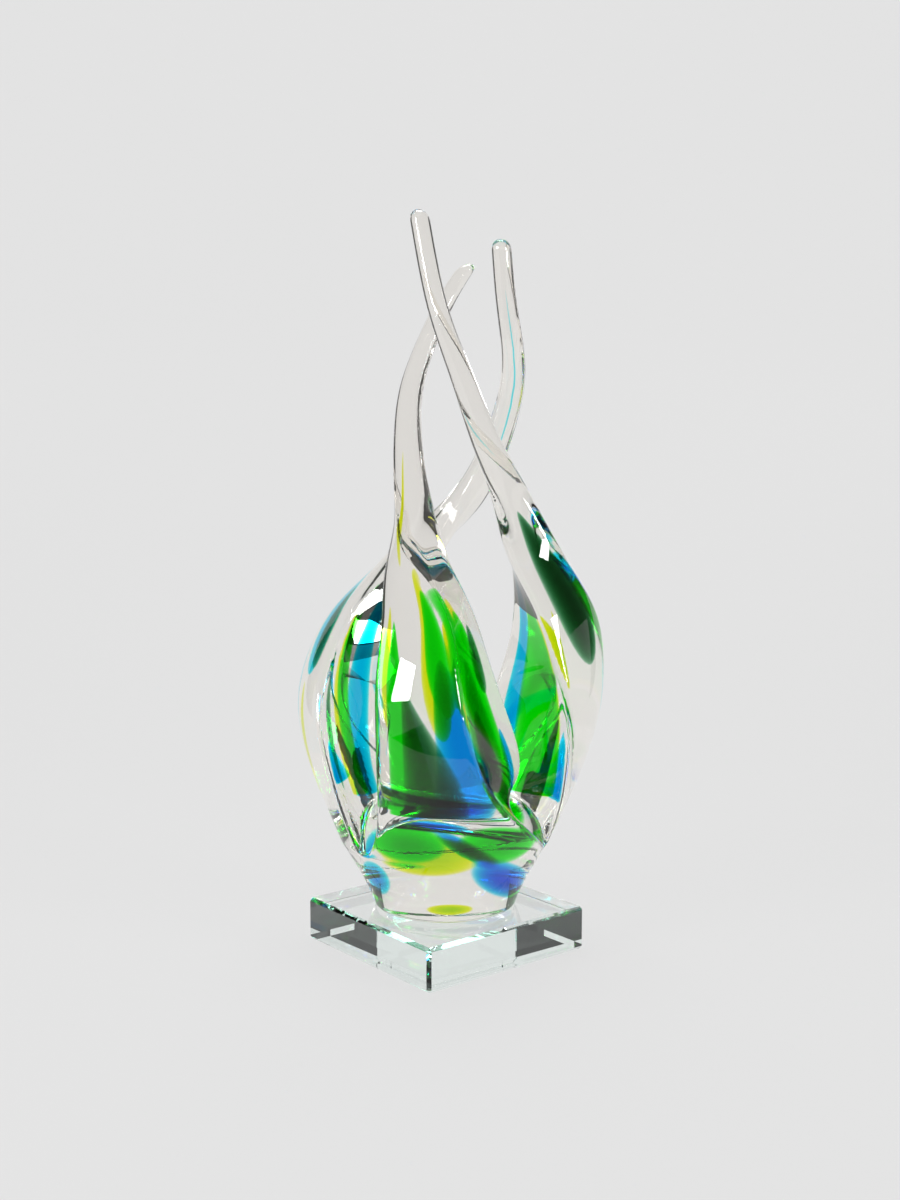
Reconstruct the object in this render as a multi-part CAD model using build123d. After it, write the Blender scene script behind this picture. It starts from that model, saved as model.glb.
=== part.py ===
from build123d import *
from collections import namedtuple
import math
import os

# A three-armed flame of solid glass, bonded to a square glass plinth. Millimetres, +Z up.
# The origin is the middle of the plinth's underside, and the plinth's sides run along X and Y.

# Plinth: sawn and polished clear glass with ground chamfers
PLINTH_SIDE = 82.0
PLINTH_THICKNESS = 18.0
PLINTH_CHAMFER = 1.4

# Film of cured adhesive under the body's foot, which stops short of the foot's rim
BOND_THICKNESS = 0.3
BOND_INSET = 3.0

# Solid base of the body, from its ground foot to the level where the three cuts end on its outside.
# The flares are the slopes of its side from upright, at the foot and at the cuts.
FOOT_DIAMETER = 58.0
FOOT_ROUND = 1.5
BASE_HEIGHT = 28.0
BASE_DIAMETER = 86.5
FOOT_FLARE = 18.0
CUT_FLARE = 31.0

# Crotch between the arms: a flat-topped mound that the cuts run down from to the outside
CROTCH_RISE = 19.5
CROTCH_FLAT = 48.0
CROTCH_SHOULDER = 1.5

# Cuts between the arms, and the rounding of the arms' edges where the cuts end
CUT_WIDTH = 3.0
CUT_EDGE = 2.0

# Rounded end of each arm
TIP_DIAMETER = 7.8

# How far the body is turned on the plinth, in degrees about +Z
BODY_TURN = -39.0

# Streaks of coloured glass under the faces of the arms. They lie at several depths under a face, so that
# they shade into each other seen through it, and end in a tongue.
STREAK_START = 1.0
TONGUE_LENGTH = 30.0

# Arm, face (the left or right cut face seen from outside, or the outer face) and name of each streak: the
# part of the face that it covers at its foot and at its tip, its depth under the face, its thickness, the
# height of its foot above the crotch, and of its tip above the cuts. Parts of a cut face are shares of the
# way out from the inner edge, and those of the outer face shares of the way from its middle to the right.
STREAKS = {
    ("front", "left", "edge_lime"): ((0.86, 0.96), (0.88, 0.96), 1.0, 1.0, 35.0, 99.0),
    ("front", "left", "edge_green"): ((0.55, 0.93), (0.84, 0.94), 2.4, 1.6, 0.0, 94.0),
    ("front", "left", "edge_dark"): ((0.32, 0.84), (0.76, 0.84), 4.4, 1.4, 0.0, 72.0),
    ("front", "left", "blue"): ((0.15, 0.6), (0.3, 0.5), 1.0, 1.8, 0.0, 78.0),
    ("front", "left", "green"): ((0.34, 0.6), (0.42, 0.58), 6.2, 1.6, 38.0, 105.0),
    ("front", "left", "lime"): ((0.42, 0.7), (0.48, 0.62), 8.4, 1.4, 30.0, 113.0),
    ("front", "right", "blue"): ((0.14, 0.42), (0.18, 0.35), 1.0, 1.5, 0.0, 52.0),
    ("front", "right", "dark"): ((0.5, 0.88), (0.55, 0.86), 1.0, 1.4, 0.0, 62.0),
    ("front", "right", "upper_dark"): ((0.18, 0.5), (0.24, 0.5), 1.0, 1.4, 46.0, 93.0),
    ("front", "right", "green"): ((0.2, 0.92), (0.3, 0.88), 3.4, 1.6, 0.0, 98.0),
    ("front", "right", "lime"): ((0.45, 0.85), (0.4, 0.8), 5.8, 1.0, 50.0, 102.0),
    ("right", "left", "blue"): ((0.1, 0.28), (0.22, 0.58), 1.0, 1.8, 0.0, 130.0),
    ("right", "left", "green"): ((0.26, 0.9), (0.35, 0.84), 3.4, 1.6, 0.0, 103.0),
    ("right", "left", "lime"): ((0.6, 0.88), (0.66, 0.82), 5.8, 1.4, 0.0, 96.0),
    ("right", "outer", "dark"): ((-0.8, 0.5), (-0.7, 0.95), 1.2, 2.2, 54.0, 136.0),
    ("right", "outer", "rim_blue"): ((-0.35, 0.2), (0.5, 0.85), 1.0, 0.8, 0.0, 78.0),
    ("left", "right", "blue"): ((0.5, 0.8), (0.33, 0.58), 1.0, 1.8, 0.0, 112.0),
    ("left", "right", "green"): ((0.6, 0.74), (0.72, 0.86), 3.4, 1.0, 0.0, 104.0),
    ("left", "right", "lime"): ((0.68, 0.8), (0.74, 0.84), 5.2, 0.9, 0.0, 98.0),
    ("left", "right", "edge_dark"): ((0.9, 0.96), (0.9, 0.96), 1.2, 0.8, 4.0, 72.0),
    ("left", "outer", "blue"): ((0.1, 0.9), (0.15, 0.9), 1.2, 1.6, 48.0, 116.0),
    ("left", "outer", "dark"): ((0.3, 0.82), (0.35, 0.82), 3.4, 1.0, 50.0, 102.0),
    ("left", "outer", "rim_blue"): ((-0.25, 0.2), (-0.25, 0.02), 1.0, 0.8, 0.0, 80.0),
    ("left", "outer", "rim_lime"): ((0.3, 0.5), (0.3, 0.5), 1.0, 0.6, 0.0, 66.0),
    ("left", "outer", "vein_blue"): ((-0.3, 0.3), (-0.3, 0.3), 3.4, 0.6, 135.0, 222.0),
    ("front", "outer", "vein_lime"): ((-0.4, 0.2), (-0.2, 0.4), 4.0, 0.6, 94.0, 158.0),
}

# Veils of coloured glass in the base, across the line of sight from the front: two ends, across to the
# right and down from the crotch, the width, and the distance behind the axis
VEILS = {
    "base_middle_lime_veil": ((-22.0, 15.5), (12.0, 15.5), 18.0, -13.0),
    "base_left_green_veil": ((-23.0, 12.5), (1.5, 10.5), 19.0, -8.5),
    "base_right_green_veil": ((3.5, 10.5), (29.0, 11.0), 18.0, -8.5),
    "base_left_blue_veil": ((-22.0, 19.0), (-19.5, 38.0), 10.0, -4.0),
    "base_arch_blue_veil": ((-2.0, 4.5), (16.0, 22.0), 7.5, -4.0),
    "base_middle_blue_veil": ((-12.0, 3.4), (8.0, 3.4), 5.4, 0.5),
    "base_right_blue_veil": ((9.0, 16.0), (23.0, 40.0), 15.0, 0.5),
    "base_foot_lime_veil": ((-6.0, 42.0), (9.0, 42.0), 6.0, -10.0),
}
VEIL_THICKNESS = 4.0

# Gap left between a streak or veil and the clear glass round it, so that their solids never overlap.
# At the thin points of a streak the gap is this many times longer.
FUSION_GAP = 0.15
POINT_GROWTH = 4.0

# Heights from here on are above the level where the cuts end. Bearings are in degrees, clockwise seen
# from above, and 0 is the body's own front (-Y).

# Bearing of each arm's middle where the cuts end
ROOT_BEARINGS = {"front": -12.0, "right": -132.0, "left": 108.0}

# Sections of the arms: height, depth, radius of the bowed outer face, radius of the edges
SECTIONS = [
    (32.0, 42.0, 50.0, 2.2),
    (57.0, 45.0, 50.0, 2.4),
    (77.0, 39.0, 44.0, 2.4),
    (97.0, 31.0, 34.0, 3.4),
    (117.0, 21.5, 24.0, 5.2),
    (137.0, 15.5, 16.0, 6.2),
    (162.0, 11.7, 12.0, 5.2),
    (187.0, 9.7, 10.0, 4.4),
    (217.0, 8.3, 8.0, 3.8),
    (258.0, TIP_DIAMETER, 8.0, 3.6),
]

# Path of each arm: height, distance from the axis, bearing, the bearing that its outer face looks to,
# the width of that face, and how far its inner edge leans to the right, seen from outside
PATHS = {
    "front": [
        (32.0, 35.5, 1.5, 12.0, 45.0, 25.0),
        (57.0, 37.5, 5.0, 18.0, 37.0, 20.0),
        (77.0, 38.0, 6.5, 24.0, 34.0, 14.0),
        (97.0, 34.5, 10.0, 30.0, 29.0, 9.0),
        (117.0, 28.5, 21.0, 56.0, 22.5, 4.0),
        (137.0, 20.5, 36.0, 90.0, 16.5, 1.0),
        (162.0, 15.0, 78.0, 100.0, 12.0, 0.0),
        (187.0, 15.5, 124.0, 100.0, 9.6, 0.0),
        (212.0, 16.5, 168.0, 100.0, 8.6, 0.0),
        (235.0, 21.5, 208.0, 100.0, TIP_DIAMETER, 0.0),
    ],
    "right": [
        (32.0, 36.5, -94.0, -92.0, 60.0, 0.0),
        (57.0, 41.0, -85.0, -74.0, 50.0, 0.0),
        (77.0, 43.0, -81.0, -62.0, 43.0, 0.0),
        (97.0, 42.0, -75.0, -50.0, 34.5, 0.0),
        (117.0, 37.0, -68.0, -30.0, 25.0, 0.0),
        (137.0, 33.0, -58.5, 8.0, 17.5, 0.0),
        (162.0, 25.0, -43.0, 45.0, 13.2, 0.0),
        (187.0, 19.5, -22.0, 60.0, 10.3, 0.0),
        (212.0, 18.0, 6.0, 60.0, 8.6, 0.0),
        (251.5, 21.5, 28.0, 60.0, TIP_DIAMETER, 0.0),
    ],
    "left": [
        (32.0, 36.0, 98.0, 88.0, 60.0, 0.0),
        (57.0, 38.5, 97.0, 82.0, 50.0, 0.0),
        (77.0, 37.5, 102.0, 82.0, 43.0, 0.0),
        (97.0, 31.5, 116.0, 90.0, 34.5, 0.0),
        (117.0, 22.0, 152.0, 125.0, 25.0, 0.0),
        (137.0, 22.0, 199.0, 180.0, 17.5, 0.0),
        (162.0, 24.0, 239.0, 205.0, 12.6, 0.0),
        (187.0, 27.0, 268.0, 205.0, 10.3, 0.0),
        (212.0, 27.0, 294.0, 205.0, 8.6, 0.0),
        (240.5, 28.0, 310.0, 205.0, TIP_DIAMETER, 0.0),
    ],
}

# Steps of the lofts up an arm and up a streak, and the angles that their rounded ends are stepped off at
ARM_STEPS = 40
STREAK_STEPS = 13
END_ANGLES = (30.0, 58.0, 78.0)

foot_level = PLINTH_THICKNESS + BOND_THICKNESS
cut_level = foot_level + BASE_HEIGHT
crotch_level = cut_level + CROTCH_RISE

PathPoint = namedtuple("PathPoint", "radius bearing facing width lean")
Size = namedtuple("Size", "depth face edge")
Station = namedtuple("Station", ("height",) + PathPoint._fields + Size._fields)


def root_station(arm):
    """The sector of the base that an arm grows from, clear of its neighbours by the width of the cuts."""
    half_angle = math.pi / len(PATHS)
    rim = BASE_DIAMETER / 2
    face = rim - CUT_EDGE
    inner_core = (CUT_EDGE + CUT_WIDTH / 2) / math.sin(half_angle)
    inner_edge = inner_core - CUT_EDGE
    wall = math.sqrt(face**2 - (inner_core * math.sin(half_angle)) ** 2) - inner_core * math.cos(half_angle)
    width = 2 * (wall * math.sin(half_angle) + CUT_EDGE)
    bearing = ROOT_BEARINGS[arm]
    path = PathPoint((rim + inner_edge) / 2, bearing, bearing, width, 0.0)
    return Station(0.0, *path, *Size(rim - inner_edge, face, CUT_EDGE))


def eased(rows, height):
    """A table's columns at a height, on the natural cubic curve through its rows."""
    heights = [row[0] for row in rows]
    spans = [above - below for below, above in zip(heights, heights[1:])]
    last = len(spans)
    k = min(max(sum(h <= height for h in heights) - 1, 0), last - 1)
    up = (height - heights[k]) / spans[k]
    down = 1 - up
    values = []
    for column in list(zip(*rows))[1:]:
        rates = [(column[i + 1] - column[i]) / spans[i] for i in range(last)]
        bends, scales, curves = [0.0], [0.0], [0.0] * (last + 1)
        for i in range(1, last):
            pivot = 2 * (spans[i - 1] + spans[i]) - spans[i - 1] * scales[-1]
            scales.append(spans[i] / pivot)
            bends.append((6 * (rates[i] - rates[i - 1]) - spans[i - 1] * bends[-1]) / pivot)
        for i in range(last - 1, 0, -1):
            curves[i] = bends[i] - scales[i] * curves[i + 1]
        bend = (down**3 - down) * curves[k] + (up**3 - up) * curves[k + 1]
        values.append(down * column[k] + up * column[k + 1] + bend * spans[k] ** 2 / 6)
    return values


def station(arm, height):
    """An arm's section at a height, before its tip is rounded off."""
    root = root_station(arm)
    split = 1 + len(PathPoint._fields)
    path = eased([root[:split]] + PATHS[arm], height)
    size = eased([(root.height, *root[split:])] + SECTIONS, height)
    return Station(height, *path, *size)


def stepped(start, end, steps):
    """Values from start to end, evenly spaced."""
    return [start + (end - start) * k / steps for k in range(steps + 1)]


def arm_stations(arm):
    reach = TIP_DIAMETER / 2
    neck = PATHS[arm][-1][0] - reach
    rows = [station(arm, height) for height in stepped(0.0, neck, ARM_STEPS)]
    for degrees in END_ANGLES:
        angle = math.radians(degrees)
        here = station(arm, neck + reach * math.sin(angle))
        sizes = {name: math.cos(angle) * getattr(here, name) for name in ("width", "lean") + Size._fields}
        rows.append(here._replace(**sizes))
    return rows


def bearing_vector(degrees):
    turn = math.radians(degrees)
    return Vector(-math.sin(turn), -math.cos(turn))


def spot(here, across, out):
    """A point of a section: across to the right seen from outside, and out from the inner edge."""
    outward = bearing_vector(here.facing)
    sideways = Vector(-outward.Y, outward.X)
    centre = bearing_vector(here.bearing) * here.radius
    place = centre + sideways * across + outward * (out - here.depth / 2)
    return Vector(place.X, place.Y, cut_level + here.height)


def face_turn(here):
    """Half the angle that the bowed outer face turns through, between the middles of its two edges."""
    return math.asin((here.width / 2 - here.edge) / here.face)


def face_bow(here):
    return here.face * (1 - math.cos(face_turn(here)))


def halves(arc):
    return arc.trim(0, 0.5), arc.trim(0.5, 1)


def shoulder_out(here):
    """How far out the middles of the two outer edges lie."""
    return here.depth - here.edge - face_bow(here)


def wall_turn(here, side):
    """The turn from outward to the way a cut face looks: the right face is side 1, the left one -1."""
    half = here.width / 2 - here.edge
    return side * (math.pi / 2 + math.atan2(half - side * here.lean, shoulder_out(here) - here.edge))


def on_edge(here, across, out, turn):
    """A point at an edge's radius from its middle, the given turn away from outward."""
    return spot(here, across + here.edge * math.sin(turn), out + here.edge * math.cos(turn))


def arm_outline(here):
    """Rounded triangle with a bowed outer face and two flat cut faces, its edges tangent to them.

    It starts at the middle of the outer face, far from its other corners, so that a loft stays untwisted.
    """
    half = here.width / 2 - here.edge
    shoulder, bend = shoulder_out(here), face_turn(here)
    right_turn, left_turn = wall_turn(here, 1), wall_turn(here, -1)

    def edge_arc(across, out, start, end):
        return ThreePointArc(*(on_edge(here, across, out, turn) for turn in (start, (start + end) / 2, end)))

    def wall(side, turn):
        return on_edge(here, side * half, shoulder, turn), on_edge(here, here.lean, here.edge, turn)

    right_wall, left_wall = wall(1, right_turn), wall(-1, left_turn)
    outer_face = ThreePointArc(
        on_edge(here, -half, shoulder, -bend),
        spot(here, 0, here.depth),
        on_edge(here, half, shoulder, bend),
    )
    left_half, right_half = halves(outer_face)
    return Wire(
        [
            right_half,
            edge_arc(half, shoulder, bend, right_turn),
            Line(*right_wall),
            edge_arc(here.lean, here.edge, right_turn, left_turn + 2 * math.pi),
            Line(*reversed(left_wall)),
            edge_arc(-half, shoulder, left_turn, -bend),
            left_half,
        ]
    )


def solid_arm(arm):
    return Solid.make_loft([arm_outline(here) for here in arm_stations(arm)])


def under_face(here, face, share, depth):
    """A spot under one of an arm's faces, at a share of the way across it."""
    if face == "outer":
        radius = here.face + here.edge - depth
        turn = share * face_turn(here)
        out = here.depth - here.edge - here.face + radius * math.cos(turn)
        return spot(here, radius * math.sin(turn), out)
    side = 1 if face == "right" else -1
    half = here.width / 2 - here.edge
    turn = wall_turn(here, side)
    across = here.lean + share * (side * half - here.lean) + (here.edge - depth) * math.sin(turn)
    out = here.edge + share * (shoulder_out(here) - here.edge) + (here.edge - depth) * math.cos(turn)
    return spot(here, across, out)


def streak_outline(here, face, span, depth, thickness, grow):
    """A lens along a face, thin at both ends. Growing it lengthens its thin points along the face."""
    reach = (under_face(here, face, 1, depth) - under_face(here, face, 0, depth)).length
    longer = POINT_GROWTH * grow / reach
    middle = depth + thickness / 2
    half = thickness / 2 + grow
    ends = [under_face(here, face, share, middle) for share in (span[0] - longer, span[1] + longer)]
    centre = (span[0] + span[1]) / 2
    near_side = ThreePointArc(ends[0], under_face(here, face, centre, middle - half), ends[1])
    far_side = ThreePointArc(ends[1], under_face(here, face, centre, middle + half), ends[0])
    return Wire([*halves(near_side), *halves(far_side)])


def streak(arm, face, name, grow=0.0):
    """A streak of colour that climbs under a face and narrows to a rounded top and foot."""
    low_span, high_span, depth, thickness, lift, top = STREAKS[arm, face, name]
    bottom = CROTCH_RISE + STREAK_START + lift
    tongue = min(TONGUE_LENGTH, (top - bottom) / 2)
    heel = tongue if lift > 0 else STREAK_START
    ends = [(math.sin(math.radians(angle)), math.cos(math.radians(angle))) for angle in END_ANGLES]
    stops = [(bottom + heel - (heel + grow) * reach, shrink) for reach, shrink in reversed(ends)]
    stops += [(height, 1.0) for height in stepped(bottom + heel, top - tongue, STREAK_STEPS)]
    stops += [(top - tongue + (tongue + grow) * reach, shrink) for reach, shrink in ends]
    outlines = []
    for height, shrink in stops:
        rise = (height - bottom) / (top - bottom)
        low, high = (foot + (tip - foot) * rise for foot, tip in zip(low_span, high_span))
        middle, half = (low + high) / 2, (high - low) / 2 * shrink
        span = (middle - half, middle + half)
        thin = thickness * shrink
        outlines.append(streak_outline(station(arm, height), face, span, depth, thin, grow))
    return Solid.make_loft(outlines)


def revolved(edges):
    """A solid of revolution about Z from edges that close a half profile in the XZ plane."""
    return revolve(Plane.XZ * make_face(edges), Axis.Z)


def crotch_profile(grow=0.0):
    """The side of the mound between the arms, from its foot up, and its flat top in to the axis."""
    flat = CROTCH_FLAT / 2
    fall = BASE_DIAMETER / 2 - CROTCH_SHOULDER - flat + grow
    rise = CROTCH_RISE + grow
    side = EllipticalCenterArc((flat, cut_level), fall, rise, start_angle=0, arc_size=90)
    return side, Line((flat, cut_level + rise), (0, cut_level + rise))


def base_solid():
    foot, rim = FOOT_DIAMETER / 2, BASE_DIAMETER / 2
    flares = [math.radians(FOOT_FLARE), math.radians(CUT_FLARE)]
    side = Spline(
        (foot, foot_level),
        (rim, cut_level),
        tangents=[(math.sin(flare), math.cos(flare)) for flare in flares],
    )
    edges = [
        Line((0, foot_level), (foot, foot_level)),
        side,
        Line((rim, cut_level), (rim - CROTCH_SHOULDER, cut_level)),
        *crotch_profile(),
        Line((0, crotch_level), (0, foot_level)),
    ]
    body = revolved(edges)
    return fillet(body.edges().sort_by(Axis.Z)[0], FOOT_ROUND)


def crotch_room():
    """The room that an arm leaves for the mound between the arms."""
    side, top = crotch_profile(FUSION_GAP)
    edges = [side, top, Line(top @ 1, (0, cut_level)), Line((0, cut_level), side @ 0)]
    return revolved(edges)


def veil(node, grow=0.0):
    """A lens of coloured glass in the base, thin at its border."""
    start, end, width, back = VEILS[node]
    (left, left_down), (right, right_down) = start, end
    length = math.hypot(right - left, right_down - left_down)
    slope = math.degrees(math.atan2(right_down - left_down, right - left))
    sizes = [length + 2 * grow, VEIL_THICKNESS + 2 * grow, width + 2 * grow]
    lens = scale(Sphere(0.5), by=tuple(sizes))
    centre = Pos((left + right) / 2, back, crotch_level - (left_down + right_down) / 2)
    return centre * Rot(0, slope, 0) * lens


def plinth():
    block = Box(
        PLINTH_SIDE, PLINTH_SIDE, PLINTH_THICKNESS, align=(Align.CENTER, Align.CENTER, Align.MIN)
    )
    return chamfer(block.edges(), PLINTH_CHAMFER)


def bond_film():
    film = Cylinder(
        FOOT_DIAMETER / 2 - BOND_INSET, BOND_THICKNESS, align=(Align.CENTER, Align.CENTER, Align.MIN)
    )
    return Pos(0, 0, PLINTH_THICKNESS) * film


def base_pieces():
    """The base's veils of colour, and its clear casing with a pocket for each."""
    casing = base_solid()
    for node in VEILS:
        yield node, veil(node)
        casing = casing - veil(node, FUSION_GAP)
    yield "base_casing", casing


def arm_pieces(arm):
    """An arm's streaks of colour, and its clear casing with a pocket for each."""
    casing = solid_arm(arm) - crotch_room()
    for owner, face, name in STREAKS:
        if owner == arm:
            yield f"{arm}_arm_{face}_{name}_streak", streak(arm, face, name)
            casing = casing - streak(arm, face, name, FUSION_GAP)
    yield f"{arm}_arm_casing", casing


nodes = {"plinth": plinth(), "bond_film": bond_film()}
for node, solid in base_pieces():
    nodes[node] = Rot(0, 0, BODY_TURN) * solid
for arm in PATHS:
    for node, solid in arm_pieces(arm):
        nodes[node] = Rot(0, 0, BODY_TURN) * solid

os.makedirs("parts", exist_ok=True)
for node, solid in nodes.items():
    export_step(solid, f"parts/{node}.step")
    print(f"{node}: {solid.volume / 1000:.2f} cm3")
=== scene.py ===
# %% [markdown]
# A glass sculpture: one mass of clear glass with coloured streaks inside, cut into three arms that were
# pulled up and twisted while hot, on a square glass plinth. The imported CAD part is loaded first, and
# every piece made here sits in its frame, in metres.

import math

import bpy
import numpy as np
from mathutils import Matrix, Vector


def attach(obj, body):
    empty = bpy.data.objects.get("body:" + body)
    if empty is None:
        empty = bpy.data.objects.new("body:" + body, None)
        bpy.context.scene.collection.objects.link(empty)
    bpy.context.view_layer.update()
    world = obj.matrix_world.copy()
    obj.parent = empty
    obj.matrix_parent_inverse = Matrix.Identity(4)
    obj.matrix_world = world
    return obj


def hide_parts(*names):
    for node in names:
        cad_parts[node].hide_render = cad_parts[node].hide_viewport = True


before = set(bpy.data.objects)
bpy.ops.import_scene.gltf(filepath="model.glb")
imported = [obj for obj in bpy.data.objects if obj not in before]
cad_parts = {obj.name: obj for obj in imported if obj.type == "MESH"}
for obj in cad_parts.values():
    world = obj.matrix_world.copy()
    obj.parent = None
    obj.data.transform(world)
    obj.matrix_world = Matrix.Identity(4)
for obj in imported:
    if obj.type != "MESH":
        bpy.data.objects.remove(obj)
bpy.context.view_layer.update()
MM = 0.001
print("CAD nodes:", len(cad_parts))

# %% [markdown]
# The sizes of the body are those of the CAD part, in millimetres. Heights of the tables are above the
# level where the cuts between the arms end. Bearings are in degrees, clockwise seen from above, from
# the body's own front.

# %% Sizes of the body
PLINTH_THICKNESS = 18.0
BOND_THICKNESS = 0.3
FOOT_DIAMETER = 58.0
FOOT_ROUND = 1.5
BASE_HEIGHT = 28.0
BASE_DIAMETER = 86.5
FOOT_FLARE = 18.0
CUT_FLARE = 31.0
CUT_WIDTH = 3.0
CUT_EDGE = 2.0
CROTCH_RISE = 19.5
CROTCH_FLAT = 48.0
CROTCH_SHOULDER = 1.5
TIP_DIAMETER = 7.8
BODY_TURN = -39.0
FOOT_LEVEL = PLINTH_THICKNESS + BOND_THICKNESS
CUT_LEVEL = FOOT_LEVEL + BASE_HEIGHT

ROOT_BEARINGS = {"front": -12.0, "right": -132.0, "left": 108.0}

# Height, depth, radius of the bowed outer face, radius of the edges
SECTIONS = [
    (32.0, 42.0, 50.0, 2.2),
    (57.0, 45.0, 50.0, 2.4),
    (77.0, 39.0, 44.0, 2.4),
    (97.0, 31.0, 34.0, 3.4),
    (117.0, 21.5, 24.0, 5.2),
    (137.0, 15.5, 16.0, 6.2),
    (162.0, 11.7, 12.0, 5.2),
    (187.0, 9.7, 10.0, 4.4),
    (217.0, 8.3, 8.0, 3.8),
    (258.0, TIP_DIAMETER, 8.0, 3.6),
]

# Height, distance from the axis, bearing, facing of the outer face, its width, lean of the inner edge
PATHS = {
    "front": [
        (32.0, 35.5, 1.5, 12.0, 45.0, 25.0),
        (57.0, 37.5, 5.0, 18.0, 37.0, 20.0),
        (77.0, 38.0, 6.5, 24.0, 34.0, 14.0),
        (97.0, 34.5, 10.0, 30.0, 29.0, 9.0),
        (117.0, 28.5, 21.0, 56.0, 22.5, 4.0),
        (137.0, 20.5, 36.0, 90.0, 16.5, 1.0),
        (162.0, 15.0, 78.0, 100.0, 12.0, 0.0),
        (187.0, 15.5, 124.0, 100.0, 9.6, 0.0),
        (212.0, 16.5, 168.0, 100.0, 8.6, 0.0),
        (235.0, 21.5, 208.0, 100.0, TIP_DIAMETER, 0.0),
    ],
    "right": [
        (32.0, 36.5, -94.0, -92.0, 60.0, 0.0),
        (57.0, 41.0, -85.0, -74.0, 50.0, 0.0),
        (77.0, 43.0, -81.0, -62.0, 43.0, 0.0),
        (97.0, 42.0, -75.0, -50.0, 34.5, 0.0),
        (117.0, 37.0, -68.0, -30.0, 25.0, 0.0),
        (137.0, 33.0, -58.5, 8.0, 17.5, 0.0),
        (162.0, 25.0, -43.0, 45.0, 13.2, 0.0),
        (187.0, 19.5, -22.0, 60.0, 10.3, 0.0),
        (212.0, 18.0, 6.0, 60.0, 8.6, 0.0),
        (251.5, 21.5, 28.0, 60.0, TIP_DIAMETER, 0.0),
    ],
    "left": [
        (32.0, 36.0, 98.0, 88.0, 60.0, 0.0),
        (57.0, 38.5, 97.0, 82.0, 50.0, 0.0),
        (77.0, 37.5, 102.0, 82.0, 43.0, 0.0),
        (97.0, 31.5, 116.0, 90.0, 34.5, 0.0),
        (117.0, 22.0, 152.0, 125.0, 25.0, 0.0),
        (137.0, 22.0, 199.0, 180.0, 17.5, 0.0),
        (162.0, 24.0, 239.0, 205.0, 12.6, 0.0),
        (187.0, 27.0, 268.0, 205.0, 10.3, 0.0),
        (212.0, 27.0, 294.0, 205.0, 8.6, 0.0),
        (240.5, 28.0, 310.0, 205.0, TIP_DIAMETER, 0.0),
    ],
}


def natural_curve(rows):
    """A function of height that gives the other columns, on the natural cubic curve through the rows."""
    table = np.array(rows)
    heights, columns = table[:, 0], table[:, 1:]
    spans = np.diff(heights)
    count = len(heights)
    matrix, bends = np.eye(count), np.zeros(columns.shape)
    for i in range(1, count - 1):
        matrix[i, i - 1 : i + 2] = spans[i - 1], 2 * (spans[i - 1] + spans[i]), spans[i]
        bends[i] = 6 * (
            (columns[i + 1] - columns[i]) / spans[i] - (columns[i] - columns[i - 1]) / spans[i - 1]
        )
    curves = np.linalg.solve(matrix, bends)

    def at(height):
        k = int(np.clip(np.searchsorted(heights, height, "right") - 1, 0, count - 2))
        up = (height - heights[k]) / spans[k]
        down = 1 - up
        bend = (down**3 - down) * curves[k] + (up**3 - up) * curves[k + 1]
        return down * columns[k] + up * columns[k + 1] + bend * spans[k] ** 2 / 6

    return at


HALF_ANGLE = math.pi / len(PATHS)
RIM = BASE_DIAMETER / 2
ROOT_FACE = RIM - CUT_EDGE
ROOT_CORE = (CUT_EDGE + CUT_WIDTH / 2) / math.sin(HALF_ANGLE)
ROOT_INNER = ROOT_CORE - CUT_EDGE
ROOT_WALL = math.sqrt(ROOT_FACE**2 - (ROOT_CORE * math.sin(HALF_ANGLE)) ** 2)
ROOT_WALL -= ROOT_CORE * math.cos(HALF_ANGLE)
ROOT_WIDTH = 2 * (ROOT_WALL * math.sin(HALF_ANGLE) + CUT_EDGE)

size_at = natural_curve([(0.0, RIM - ROOT_INNER, ROOT_FACE, CUT_EDGE)] + SECTIONS)
path_at = {}
for arm, rows in PATHS.items():
    bearing = ROOT_BEARINGS[arm]
    root = (0.0, (RIM + ROOT_INNER) / 2, bearing, bearing, ROOT_WIDTH, 0.0)
    path_at[arm] = natural_curve([root] + rows)
print("arm tips at", {arm: CUT_LEVEL + rows[-1][0] for arm, rows in PATHS.items()}, "mm")

# %% [markdown]
# Each arm is a rounded triangle in section: a bowed outer face, and two flat faces where the hot glass
# was cut. Many such sections at different heights, each turned a little further, give its twist.

# %% Sections of an arm
FACE_STEPS, WALL_STEPS, EDGE_STEPS = 22, 20, 7


def bearing_vector(degrees):
    turn = math.radians(degrees)
    return np.array([-math.sin(turn), -math.cos(turn)])


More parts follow.
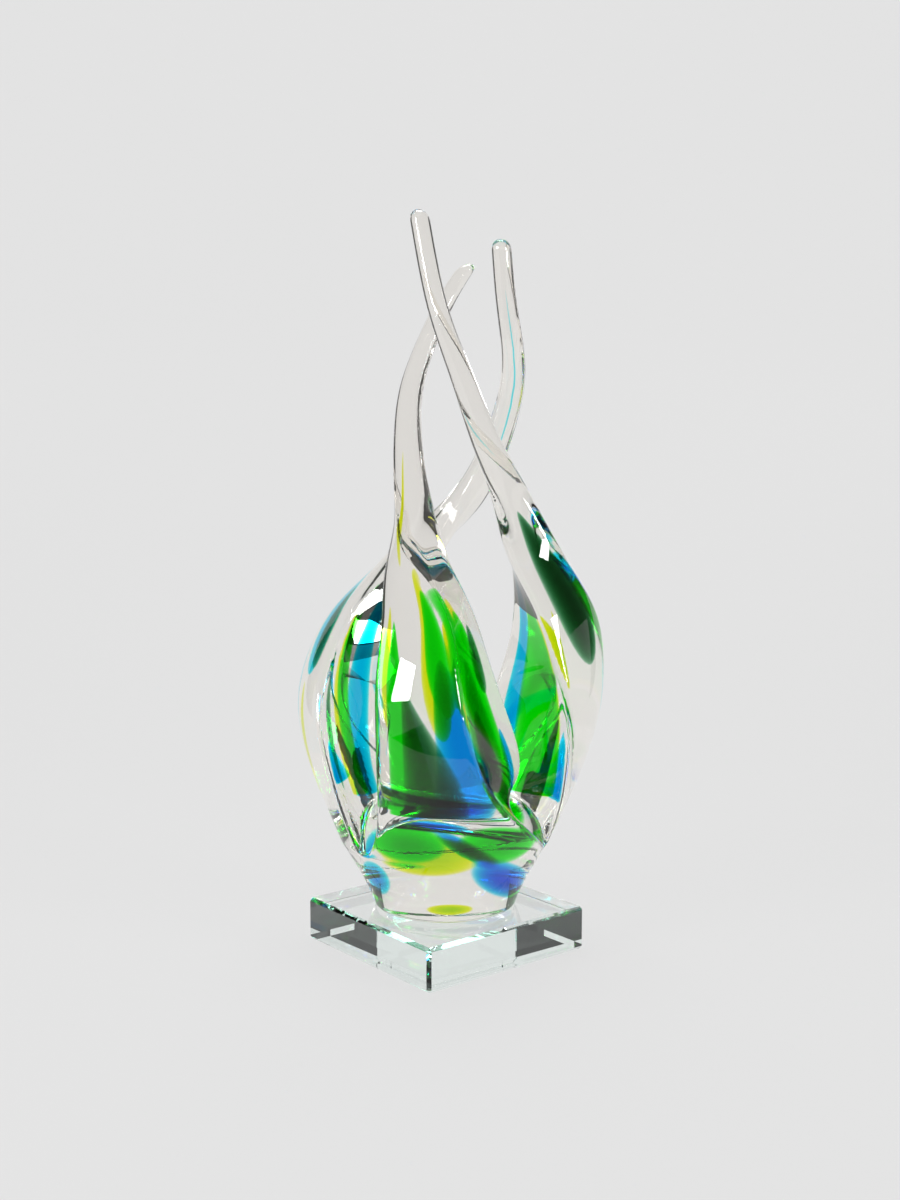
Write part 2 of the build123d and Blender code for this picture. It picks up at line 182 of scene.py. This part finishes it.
class Section:
    """An arm at one height: across runs to the right seen from outside, out from the inner edge."""

    def __init__(self, arm, height, shrink=1.0):
        low = max(height, 0.0)
        radius, bearing, facing, width, lean = path_at[arm](low)
        depth, face, edge = size_at(low)
        self.height = height
        self.width, self.lean = width * shrink, lean * shrink
        self.depth, self.face, self.edge = depth * shrink, face * shrink, edge * shrink
        self.half = self.width / 2 - self.edge
        self.bend = math.asin(self.half / self.face)
        self.bow = self.face * (1 - math.cos(self.bend))
        self.centre = radius * bearing_vector(bearing)
        self.outward = bearing_vector(facing)
        self.sideways = np.array([-self.outward[1], self.outward[0]])
        self.shoulder = self.depth - self.edge - self.bow
        rise = self.shoulder - self.edge
        self.right_turn = math.pi / 2 + math.atan2(self.half - self.lean, rise)
        self.left_turn = -math.pi / 2 - math.atan2(self.half + self.lean, rise)

    def place(self, across, out):
        across, out = np.atleast_1d(across), np.atleast_1d(out)
        steps_out = np.outer(out - self.depth / 2, self.outward)
        return self.centre + np.outer(across, self.sideways) + steps_out

    def under_face(self, face, shares, depths):
        """Spots below a face: shares of a cut face run out, and those of the outer face to the right."""
        if face == "outer":
            radius = self.face + self.edge - depths
            turn = shares * self.bend
            middle = self.depth - self.edge - self.face
            return self.place(radius * np.sin(turn), middle + radius * np.cos(turn))
        turn = self.right_turn if face == "right" else self.left_turn
        corner = self.half if face == "right" else -self.half
        across = self.lean + shares * (corner - self.lean) + (self.edge - depths) * math.sin(turn)
        out = self.edge + shares * (self.shoulder - self.edge) + (self.edge - depths) * math.cos(turn)
        return self.place(across, out)

    def outline(self):
        shoulder, right_turn, left_turn = self.shoulder, self.right_turn, self.left_turn
        middle = shoulder + self.bow - self.face

        def arc(across, out, radius, start, end, steps):
            turn = np.linspace(start, end, steps, endpoint=False)
            return np.stack([across + radius * np.sin(turn), out + radius * np.cos(turn)], 1)

        def edge_arc(across, out, start, end):
            return arc(across, out, self.edge, start, end, EDGE_STEPS)

        right = edge_arc(self.half, shoulder, self.bend, right_turn)
        inner = edge_arc(self.lean, self.edge, right_turn, left_turn + 2 * math.pi)
        left = edge_arc(-self.half, shoulder, left_turn, -self.bend)

        def wall(across, out, turn, far_across, far_out):
            push = self.edge * np.array([math.sin(turn), math.cos(turn)])
            start, end = np.array([across, out]) + push, np.array([far_across, far_out]) + push
            return start + np.linspace(0, 1, WALL_STEPS, endpoint=False)[:, None] * (end - start)

        loop = np.concatenate(
            [
                arc(0, middle, self.face + self.edge, -self.bend, self.bend, FACE_STEPS),
                right,
                wall(self.half, shoulder, right_turn, self.lean, self.edge),
                inner,
                wall(self.lean, self.edge, left_turn, -self.half, shoulder),
                left,
            ]
        )
        return self.place(loop[:, 0], loop[:, 1])


shoulder = Section("front", 57.0)
print("front arm 57 mm above the cuts:", shoulder.width, "mm wide and", shoulder.depth, "mm deep")

# %% [markdown]
# A blown or cast form can be turned from a half profile, as on a lathe. The base is such a form: a rounded
# foot, a flaring side, and on top the mound that is left between the cuts.

# %% Skin of the base
def lofted(rings):
    """Corners and faces of the closed skin through rings of equal length, as body millimetres."""
    count = len(rings[0])
    points = np.concatenate(rings)
    faces = [tuple(range(count))[::-1]]
    for level in range(len(rings) - 1):
        low = level * count
        for k in range(count):
            after = (k + 1) % count
            faces.append((low + k, low + after, low + count + after, low + count + k))
    faces.append(tuple(range(len(points) - count, len(points))))
    return points, faces


def revolved(profile, steps=128):
    """The closed skin of a half profile, given from the axis up and round, turned about the axis."""
    turns = np.linspace(0, 2 * math.pi, steps, endpoint=False)
    rings = [
        np.stack([r * np.cos(turns), r * np.sin(turns), np.full(steps, z)], 1) for r, z in profile
    ]
    return lofted(rings)


def base_radius(height):
    """Radius of the base's side, as the cubic with the flares of the CAD part at both ends."""
    t = height / BASE_HEIGHT
    foot, rim = FOOT_DIAMETER / 2, RIM
    slopes = [math.tan(math.radians(flare)) * BASE_HEIGHT for flare in (FOOT_FLARE, CUT_FLARE)]
    return (
        (2 * t**3 - 3 * t**2 + 1) * foot
        + (t**3 - 2 * t**2 + t) * slopes[0]
        + (3 * t**2 - 2 * t**3) * rim
        + (t**3 - t**2) * slopes[1]
    )


def base_skin():
    heights = np.linspace(FOOT_ROUND, BASE_HEIGHT, 24)
    turns = np.radians(np.linspace(-90, 0, 6, endpoint=False))
    foot = base_radius(FOOT_ROUND) - FOOT_ROUND
    profile = [(foot + FOOT_ROUND * math.cos(a), FOOT_ROUND * (1 + math.sin(a))) for a in turns]
    profile += [(base_radius(h), h) for h in heights]
    flat = CROTCH_FLAT / 2
    fall = RIM - CROTCH_SHOULDER - flat
    for angle in np.radians(np.linspace(0, 90, 16)):
        profile.append((flat + fall * math.cos(angle), BASE_HEIGHT + CROTCH_RISE * math.sin(angle)))
    profile.append((0.01, BASE_HEIGHT + CROTCH_RISE))
    return revolved([(r, FOOT_LEVEL + h) for r, h in profile])


print("base: foot", base_radius(0), "mm and rim", base_radius(BASE_HEIGHT), "mm in radius")

# %% [markdown]
# An arm's skin starts on a ring that is sunk a little into the base, climbs in small steps, and closes in a
# round tip, as the hot glass does when it is pulled and cut off.

# %% Skins of the arms
RING_STEP = 1.2
ROOT_SINK = 4.0
END_ANGLES = (15.0, 30.0, 45.0, 58.0, 70.0, 80.0, 87.0)


def level_ring(section):
    plan = section.outline()
    return np.column_stack([plan, np.full(len(plan), CUT_LEVEL + section.height)])


def arm_skin(arm):
    reach = TIP_DIAMETER / 2
    neck = PATHS[arm][-1][0] - reach
    rings = []
    sunk = level_ring(Section(arm, -ROOT_SINK))
    sunk[:, :2] *= (base_radius(BASE_HEIGHT - ROOT_SINK) - 1) / RIM
    rings.append(sunk)
    for height in np.linspace(0, neck, round(neck / RING_STEP)):
        rings.append(level_ring(Section(arm, height)))
    for degrees in END_ANGLES:
        angle = math.radians(degrees)
        rings.append(level_ring(Section(arm, neck + reach * math.sin(angle), math.cos(angle))))
    return lofted(rings)


arm_skins = {arm: arm_skin(arm) for arm in PATHS}
print("corners of the arms:", {arm: len(points) for arm, (points, faces) in arm_skins.items()})

# %% [markdown]
# The clear glass of the body is one mass. The skins of the base and the arms go into one mesh, and a fine
# voxel remesh fuses them where they overlap. A few rounds of smoothing then stand for the fire polish, and
# round the ends of the cuts.

# %% Clear glass body
VOXEL, POLISH_ROUNDS = 0.7, 8


def to_frame(points):
    """Millimetres on the body's own axes to metres in the frame, with the body turned on its plinth."""
    turn = math.radians(BODY_TURN)
    x, y, z = np.asarray(points, float).T
    turned = [x * math.cos(turn) - y * math.sin(turn), x * math.sin(turn) + y * math.cos(turn), z]
    return np.stack(turned, 1) * MM


def new_piece(name, shells):
    """One mesh object from several skins, in the frame."""
    points, faces = [], []
    for corners, loops in shells:
        start = sum(len(p) for p in points)
        points.append(to_frame(corners))
        faces += [tuple(start + k for k in loop) for loop in loops]
    mesh = bpy.data.meshes.new(name)
    mesh.from_pydata(np.concatenate(points).tolist(), [], faces)
    mesh.update()
    piece = bpy.data.objects.new(name, mesh)
    bpy.context.scene.collection.objects.link(piece)
    return piece


def apply_all(piece):
    """Puts the result of a piece's modifiers into its mesh."""
    graph = bpy.context.evaluated_depsgraph_get()
    mesh = bpy.data.meshes.new_from_object(piece.evaluated_get(graph))
    piece.modifiers.clear()
    piece.data = mesh


def fused(piece, grain, rounds):
    """Joins a piece's skins into one smooth skin, as hot glass flows together."""
    remesh = piece.modifiers.new("fuse", "REMESH")
    remesh.mode = "VOXEL"
    remesh.voxel_size = grain * MM
    smooth = piece.modifiers.new("fire polish", "SMOOTH")
    smooth.factor = 0.5
    smooth.iterations = rounds
    apply_all(piece)
    piece.data.shade_smooth()
    print(piece.name, len(piece.data.polygons), "faces")
    return piece


body = new_piece("clear_glass_body", [base_skin(), *arm_skins.values()])
fused(body, grain=VOXEL, rounds=POLISH_ROUNDS)
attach(body, "root")
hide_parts("base_casing", *(f"{arm}_arm_casing" for arm in PATHS))

# %% [markdown]
# Inside the clear glass lie streaks of coloured glass, just under the skin. On the cut faces blue runs
# along the inner edge, green in the middle, and lime toward the outer face. Near black green streaks there
# and under the outer faces are painted shade, where the glass shows the dark room and the shadowed floor.
# Others lie under the outer faces. They have several depths, so that they shade into each other seen
# through the glass.

# %% Coloured streaks in the arms
STREAK_START = 1.0
TONGUE_LENGTH = 30.0
LENS_STEPS = 18
LENS_FULLNESS, LENS_BORDER = 0.7, 0.02
coloured = []

# Arm, face and name: the shares of the face that a streak covers at its foot and at its tip, its depth,
# its thickness, the height of its foot above the crotch, and of its tip above the cuts
STREAKS = {
    ("front", "left", "edge_lime"): ((0.86, 0.96), (0.88, 0.96), 1.0, 1.0, 35.0, 99.0),
    ("front", "left", "edge_green"): ((0.55, 0.93), (0.84, 0.94), 2.4, 1.6, 0.0, 94.0),
    # The streaks named dark are painted shade: near black green glass where the glass shows the dark room
    ("front", "left", "edge_dark"): ((0.32, 0.84), (0.76, 0.84), 4.4, 1.4, 0.0, 72.0),
    ("front", "left", "blue"): ((0.15, 0.6), (0.3, 0.5), 1.0, 1.8, 0.0, 78.0),
    ("front", "left", "green"): ((0.34, 0.6), (0.42, 0.58), 6.2, 1.6, 38.0, 105.0),
    ("front", "left", "lime"): ((0.42, 0.7), (0.48, 0.62), 8.4, 1.4, 30.0, 113.0),
    ("front", "right", "blue"): ((0.14, 0.42), (0.18, 0.35), 1.0, 1.5, 0.0, 52.0),
    # Painted shade: near black green glass where the glass shows the dark room
    ("front", "right", "dark"): ((0.5, 0.88), (0.55, 0.86), 1.0, 1.4, 0.0, 62.0),
    ("front", "right", "upper_dark"): ((0.18, 0.5), (0.24, 0.5), 1.0, 1.4, 46.0, 93.0),
    ("front", "right", "green"): ((0.2, 0.92), (0.3, 0.88), 3.4, 1.6, 0.0, 98.0),
    ("front", "right", "lime"): ((0.45, 0.85), (0.4, 0.8), 5.8, 1.0, 50.0, 102.0),
    ("right", "left", "blue"): ((0.1, 0.28), (0.22, 0.58), 1.0, 1.8, 0.0, 130.0),
    ("right", "left", "green"): ((0.26, 0.9), (0.35, 0.84), 3.4, 1.6, 0.0, 103.0),
    ("right", "left", "lime"): ((0.6, 0.88), (0.66, 0.82), 5.8, 1.4, 0.0, 96.0),
    # Painted shade: near black green glass where the outer face shows the shadowed floor
    ("right", "outer", "dark"): ((-0.8, 0.5), (-0.7, 0.95), 1.2, 2.2, 54.0, 136.0),
    ("right", "outer", "rim_blue"): ((-0.35, 0.2), (0.5, 0.85), 1.0, 0.8, 0.0, 78.0),
    ("left", "right", "blue"): ((0.5, 0.8), (0.33, 0.58), 1.0, 1.8, 0.0, 112.0),
    ("left", "right", "green"): ((0.6, 0.74), (0.72, 0.86), 3.4, 1.0, 0.0, 104.0),
    ("left", "right", "lime"): ((0.68, 0.8), (0.74, 0.84), 5.2, 0.9, 0.0, 98.0),
    # Painted shade: near black green glass where the glass shows the dark room
    ("left", "right", "edge_dark"): ((0.9, 0.96), (0.9, 0.96), 1.2, 0.8, 4.0, 72.0),
    ("left", "outer", "blue"): ((0.1, 0.9), (0.15, 0.9), 1.2, 1.6, 48.0, 116.0),
    # Painted shade: near black green glass where the outer face shows the shadowed floor
    ("left", "outer", "dark"): ((0.3, 0.82), (0.35, 0.82), 3.4, 1.0, 50.0, 102.0),
    ("left", "outer", "rim_blue"): ((-0.25, 0.2), (-0.25, 0.02), 1.0, 0.8, 0.0, 80.0),
    ("left", "outer", "rim_lime"): ((0.3, 0.5), (0.3, 0.5), 1.0, 0.6, 0.0, 66.0),
    ("left", "outer", "vein_blue"): ((-0.3, 0.3), (-0.3, 0.3), 3.4, 0.6, 135.0, 222.0),
    ("front", "outer", "vein_lime"): ((-0.4, 0.2), (-0.2, 0.4), 4.0, 0.6, 94.0, 158.0),
}


def streak_ring(arm, face, height, span, depth, thickness, shrink):
    """A lens of colour under a cut face, between two shares of the way out from its inner edge."""
    section = Section(arm, height)
    middle = np.mean(span)
    shares = np.linspace(*(middle + shrink * (share - middle) for share in span), LENS_STEPS)
    swell = shrink * thickness / 2 * np.sin(np.linspace(0, math.pi, LENS_STEPS)) ** LENS_FULLNESS
    swell += LENS_BORDER
    near = section.under_face(face, shares, depth + thickness / 2 - swell)
    far = section.under_face(face, shares, depth + thickness / 2 + swell)
    plan = np.concatenate([near, far[::-1]])
    if face == "right":
        plan = plan[::-1]
    return np.column_stack([plan, np.full(len(plan), CUT_LEVEL + height)])


def streak_skin(arm, face, name):
    low_span, high_span, depth, thickness, lift, top = STREAKS[arm, face, name]
    low_span, high_span = np.array(low_span), np.array(high_span)
    bottom = CROTCH_RISE + STREAK_START + lift
    tongue = min(TONGUE_LENGTH, (top - bottom) / 2)
    heel = tongue if lift > 0 else STREAK_START
    ends = [(math.sin(math.radians(a)), math.cos(math.radians(a))) for a in END_ANGLES]
    stops = [(bottom + heel * (1 - reach), shrink) for reach, shrink in ends[::-1]]
    count = max(round((top - tongue - bottom - heel) / RING_STEP), 2)
    stops += [(height, 1.0) for height in np.linspace(bottom + heel, top - tongue, count)]
    stops += [(top - tongue * (1 - reach), shrink) for reach, shrink in ends]
    rings = []
    for height, shrink in stops:
        span = low_span + (high_span - low_span) * (height - bottom) / (top - bottom)
        rings.append(streak_ring(arm, face, height, span, depth, thickness, shrink))
    return lofted(rings)


def colour_piece(node, skin):
    """A piece of coloured glass in the place of a CAD node. The node's last word but one is its colour."""
    colour = node.split("_")[-2]
    piece = new_piece(f"{node}_glass", [skin])
    piece.data.shade_smooth()
    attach(piece, "root")
    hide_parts(node)
    coloured.append((piece, colour))


for arm, face, name in STREAKS:
    colour_piece(f"{arm}_arm_{face}_{name}_streak", streak_skin(arm, face, name))
print("streaks:", len(coloured))

# %% [markdown]
# Under the crotch the colours run together. There they are soft lenses that stand one behind the other
# across the base, thick in the middle and fading to their borders.

# %% Coloured veils in the base
# Two ends, across to the right and down from the crotch, the width, and the distance behind the axis
VEILS = {
    "base_middle_lime_veil": ((-22.0, 15.5), (12.0, 15.5), 18.0, -13.0),
    "base_left_green_veil": ((-23.0, 12.5), (1.5, 10.5), 19.0, -8.5),
    "base_right_green_veil": ((3.5, 10.5), (29.0, 11.0), 18.0, -8.5),
    "base_left_blue_veil": ((-22.0, 19.0), (-19.5, 38.0), 10.0, -4.0),
    "base_arch_blue_veil": ((-2.0, 4.5), (16.0, 22.0), 7.5, -4.0),
    "base_middle_blue_veil": ((-12.0, 3.4), (8.0, 3.4), 5.4, 0.5),
    "base_right_blue_veil": ((9.0, 16.0), (23.0, 40.0), 15.0, 0.5),
    "base_foot_lime_veil": ((-6.0, 42.0), (9.0, 42.0), 6.0, -10.0),
}
VEIL_THICKNESS = 4.0
VEIL_RINGS, VEIL_END, VEIL_SOFTNESS = 32, 88.0, 3


def veil_skin(start, end, width, back, steps=40):
    """A lens across the base, from the middle of one side over its border to the middle of the other."""
    crotch = CUT_LEVEL + CROTCH_RISE
    start, end = (np.array([across, back, crotch - down]) for across, down in (start, end))
    along = (end - start) / 2
    sideways = np.cross(along, (0, 1, 0)) / np.linalg.norm(along) * width / 2
    through = np.array([0, VEIL_THICKNESS / 2, 0])
    turns = np.linspace(0, 2 * math.pi, steps, endpoint=False)[:, None]
    rings = []
    for swing in np.radians(np.linspace(VEIL_END, -VEIL_END, VEIL_RINGS)):
        loop = math.cos(swing) * (np.cos(turns) * along + np.sin(turns) * sideways)
        rings.append(loop + (start + end) / 2 + math.sin(swing) ** VEIL_SOFTNESS * through)
    return lofted(rings)


for node, row in VEILS.items():
    colour_piece(node, veil_skin(*row))
print("streaks and veils:", len(coloured))

# %% [markdown]
# Materials are made of nodes. Colours are written as on a paint chart, in sRGB hex, and turned to the
# linear values that Blender works with.

# %% Helpers for materials
def linear(hex_colour):
    """An sRGB hex colour as linear red, green, blue and alpha."""
    parts = [int(hex_colour[i : i + 2], 16) / 255 for i in (1, 3, 5)]
    return [c / 12.92 if c <= 0.04045 else ((c + 0.055) / 1.055) ** 2.4 for c in parts] + [1.0]


def add(tree, kind, settings=None, links=None):
    """Adds a node, sets its sockets by name, and links other sockets into it."""
    node = tree.nodes.new(kind)
    for name, value in (settings or {}).items():
        if isinstance(name, int) or name in node.inputs:
            node.inputs[name].default_value = value
        else:
            setattr(node, name, value)
    for name, source in (links or {}).items():
        tree.links.new(source, node.inputs[name])
    return node


def new_material(name):
    material = bpy.data.materials.new(name)
    material.use_nodes = True
    material.node_tree.nodes.clear()
    return material, material.node_tree


def dress(piece, material):
    piece.data.materials.clear()
    piece.data.materials.append(material)


print("mid grey is", round(linear("#808080")[0], 3), "in linear light")

# %% [markdown]
# Clear art glass is soda-lime glass, fire polished, with an IOR of about 1.5: it shows sharp reflections
# and bends what lies behind it. The plinth is float glass, sawn and polished, and the iron in it gives long
# ways through it a green tint. The cured adhesive fills the joint, and is all but invisible.

# %% Clear glass and adhesive
def clear_glass(name, tint, passes="#FFFFFF", density=0.0, ior=1.5):
    material, tree = new_material(name)
    settings = {"Base Color": linear(tint), "Roughness": 0.0, "IOR": ior, "Transmission Weight": 1.0}
    shader = add(tree, "ShaderNodeBsdfPrincipled", settings)
    output = add(tree, "ShaderNodeOutputMaterial", links={"Surface": shader.outputs[0]})
    if density > 0:
        volume = add(tree, "ShaderNodeVolumeAbsorption", {"Color": linear(passes), "Density": density})
        tree.links.new(volume.outputs[0], output.inputs["Volume"])
    return material


def tinted_glass(name, passes, density):
    material, tree = new_material(name)
    surface = add(tree, "ShaderNodeBsdfTransparent", {"Color": (1, 1, 1, 1)})
    volume = add(tree, "ShaderNodeVolumeAbsorption", {"Color": linear(passes), "Density": density})
    links = {"Surface": surface.outputs[0], "Volume": volume.outputs[0]}
    add(tree, "ShaderNodeOutputMaterial", links=links)
    return material


dress(body, clear_glass("fire-polished soda-lime glass", "#FEFBF6"))
IRON_TINT, IRON_DENSITY = "#AAEDDD", 1.4
float_glass = clear_glass("polished float glass", "#FDFEFD", IRON_TINT, IRON_DENSITY)
dress(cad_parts["plinth"], float_glass)
dress(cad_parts["bond_film"], tinted_glass("cured clear adhesive", "#FDFDFD", density=10.0))
print("clear materials:", [material.name for material in bpy.data.materials])

# %% [markdown]
# The coloured streaks are the same glass with metal oxides, but for the dark ones. Light isn't bent where
# they meet the clear glass, so their skins are plain transparent, and the colour comes from absorption on
# the
# way through: thick places are deep in colour and thin borders fade. Copper and cobalt give two blues, cyan
# in the side arms and royal blue in the base and the front arm. The dark tint is no oxide but painted shade:
# near black green glass that stands where the glass shows the dark room and the shadowed floor.

# %% Coloured glass
# Colour that passes, and density per metre
TINTS = {
    "lime": ("#F9FD00", 4200.0),
    "green": ("#00FB00", 4200.0),
    "blue": ("#00F7FE", 4200.0),
    "royal": ("#00ECFD", 4000.0),
    # Painted shade, not an oxide: near black green for the dark room and shadowed floor seen in the glass
    "dark": ("#00BC7C", 2800.0),
}
ROYAL_BLUE = (
    "base_right_blue",
    "base_arch_blue",
    "base_middle_blue",
    "front_arm_left_blue",
    "front_arm_right_blue",
)

# The dark tint gives the material dark oxide glass, which is painted shade
oxides = {colour: tinted_glass(f"{colour} oxide glass", *tint) for colour, tint in TINTS.items()}
for piece, colour in coloured:
    dress(piece, oxides["royal" if piece.name.startswith(ROYAL_BLUE) else colour])
print("materials:", len(bpy.data.materials))

# %% [markdown]
# The stage: a sweep of pale paper under and behind the piece, with a low card wall on each side and a
# sloping card before each lamp, in a dark room. The dark front of the room draws the outlines of the glass,
# and the dark above the walls shows in the sides of the plinth.

# %% Paper and cards
BACKGROUND = "#E2E2E2"
FRONT = math.radians(BODY_TURN)
SWEEP_HALF, SWEEP_FRONT, SWEEP_BACK = 650.0, -230.0, 650.0
SWEEP_BEND, SWEEP_TOP = 300.0, 1300.0
PAPER_GAP = 0.2
WALL_OUT = 620.0
# Side, front, back and top of each card wall, the left one higher in front
WALLS = ((-1, -260.0, -60.0, 320.0), (-1, -60.0, 300.0, 195.0), (1, -260.0, 300.0, 195.0))
RAMP_IN, RAMP_FRONT, RAMP_TOP = 330.0, -700.0, 130.0
CARD = "#D8D8D8"
PAPER_GLOW = 0.93

route = [(SWEEP_FRONT, 0.0)]
for angle in np.radians(np.linspace(0, 90, 24)):
    route.append((SWEEP_BACK - SWEEP_BEND * (1 - math.sin(angle)), SWEEP_BEND * (1 - math.cos(angle))))
route.append((SWEEP_BACK, SWEEP_TOP))
edges = [[(side * SWEEP_HALF, back, up - PAPER_GAP) for back, up in route] for side in (-1, 1)]
steps = len(route)
loops = [(k, k + steps, k + steps + 1, k + 1) for k in range(steps - 1)]
sweep = new_piece("paper_sweep", [(np.array(edges[0] + edges[1]), loops)])
sweep.data.shade_smooth()
walls, ramps = [], []
for side, front, back, top in WALLS:
    corners = [(side * WALL_OUT, end, up) for end in (front, back) for up in (0.0, top)]
    walls.append((np.array(corners), [(0, 1, 3, 2)]))
for side in (-1, 1):
    slope = ((RAMP_IN, 0.0), (WALL_OUT, RAMP_TOP))
    corners = [(side * out, back, up) for back in (RAMP_FRONT, SWEEP_FRONT) for out, up in slope]
    ramps.append((np.array(corners), [(0, 1, 3, 2)]))
side_walls = new_piece("card_side_walls", walls)
front_ramps = new_piece("card_front_ramps", ramps)
print("card walls:", len(walls), "and ramps:", len(ramps))

# %% [markdown]
# Paper that looks evenly lit to the camera, to reflections and through the glass: for those rays most of it
# glows at its own colour, and the rest is matt and keeps a soft shadow.

# %% Paper material
def pale_paper(name, colour):
    """Paper that looks evenly lit to the camera and through the glass, and still keeps a soft shadow."""
    material, tree = new_material(name)
    paths = add(tree, "ShaderNodeLightPath")
    diffuse = add(tree, "ShaderNodeBsdfDiffuse", {"Color": linear(colour)})
    glow = add(tree, "ShaderNodeEmission", {"Color": linear(colour), "Strength": 1.0})
    seen = paths.outputs["Is Camera Ray"]
    for kind in ("Is Glossy Ray", "Is Transmission Ray"):
        either = add(tree, "ShaderNodeMath", {"operation": "MAXIMUM"}, {0: seen, 1: paths.outputs[kind]})
        seen = either.outputs[0]
    share = add(tree, "ShaderNodeMath", {"operation": "MULTIPLY", 1: PAPER_GLOW}, {0: seen})
    shaders = {0: share.outputs[0], 1: diffuse.outputs[0], 2: glow.outputs[0]}
    mixed = add(tree, "ShaderNodeMixShader", links=shaders)
    add(tree, "ShaderNodeOutputMaterial", links={"Surface": mixed.outputs[0]})
    return material


for paper, colour in ((sweep, BACKGROUND), (side_walls, CARD), (front_ramps, BACKGROUND)):
    dress(paper, pale_paper(f"matt paper of {paper.name}", colour))
print("papers:", [paper.name for paper in (sweep, side_walls, front_ramps)])

# %% [markdown]
# The room is nearly dark. Two softboxes in front draw the bright panes that glass shows in its faces, and a
# large one overhead lights the paper.

# %% Room and lamps
ROOM_LIGHT = 0.07
LAMP_AIM = 0.13

world = bpy.data.worlds.new("dark studio")
bpy.context.scene.world = world
world.use_nodes = True
tree = world.node_tree
tree.nodes.clear()
room = add(tree, "ShaderNodeBackground", {"Color": linear("#FFFFFF"), "Strength": ROOM_LIGHT})
add(tree, "ShaderNodeOutputWorld", links={"Surface": room.outputs[0]})

# Name: bearing in degrees, distance, height, width and length in metres, and power in watts
LAMPS = {
    "left softbox": (55, 1.1, 0.32, 0.35, 0.35, 12),
    "right softbox": (-60, 1.2, 0.32, 0.35, 0.35, 12),
    "overhead softbox": (180, 0.4, 1.5, 0.9, 0.9, 20),
}


def softbox(name, bearing, distance, height, width, tall, power):
    """An area lamp on a bearing from the body's front, turned to the middle of the body."""
    data = bpy.data.lights.new(name, "AREA")
    data.shape = "RECTANGLE"
    data.size, data.size_y, data.energy = width, tall, power
    lamp = bpy.data.objects.new(name, data)
    x, y = bearing_vector(bearing) * distance
    lamp.location = Vector(to_frame([(x / MM, y / MM, height / MM)])[0])
    aim = Vector((0, 0, LAMP_AIM)) - lamp.location
    lamp.rotation_euler = aim.to_track_quat("-Z", "Y").to_euler()
    bpy.context.scene.collection.objects.link(lamp)
    return lamp


for name, row in LAMPS.items():
    softbox(name, *row)
print("lamps:", list(LAMPS))

# %% [markdown]
# Light passes many faces on its way through the twisted arms, so the renderer may follow it further than
# usual. Without that, the middle of the glass would be black.

# %% Light paths
scene = bpy.context.scene
scene.cycles.max_bounces = 32
scene.cycles.transmission_bounces = 32
scene.cycles.glossy_bounces = 16
scene.cycles.transparent_max_bounces = 48
scene.view_settings.view_transform = "Standard"
print("light is followed through", scene.cycles.transmission_bounces, "faces")

# %% [markdown]
# The camera stands at the photograph's place: a little above the middle of the piece, looking slightly
# down.

# %% Camera
CAMERA_SPOT = (2.05, -607.0, PLINTH_THICKNESS + 198.7)
CAMERA_PITCH = 0.118
LENS = 45.0

data = bpy.data.cameras.new("camera")
data.lens = LENS
data.sensor_width = 36.0
data.clip_start = 0.01
camera = bpy.data.objects.new("camera", data)
camera.location = Vector(to_frame([CAMERA_SPOT])[0])
camera.rotation_euler = (math.pi / 2 - CAMERA_PITCH, 0, FRONT)
scene.collection.objects.link(camera)
scene.camera = camera
print("camera", round(-CAMERA_SPOT[1]), "mm in front of the axis, lens", LENS, "mm")
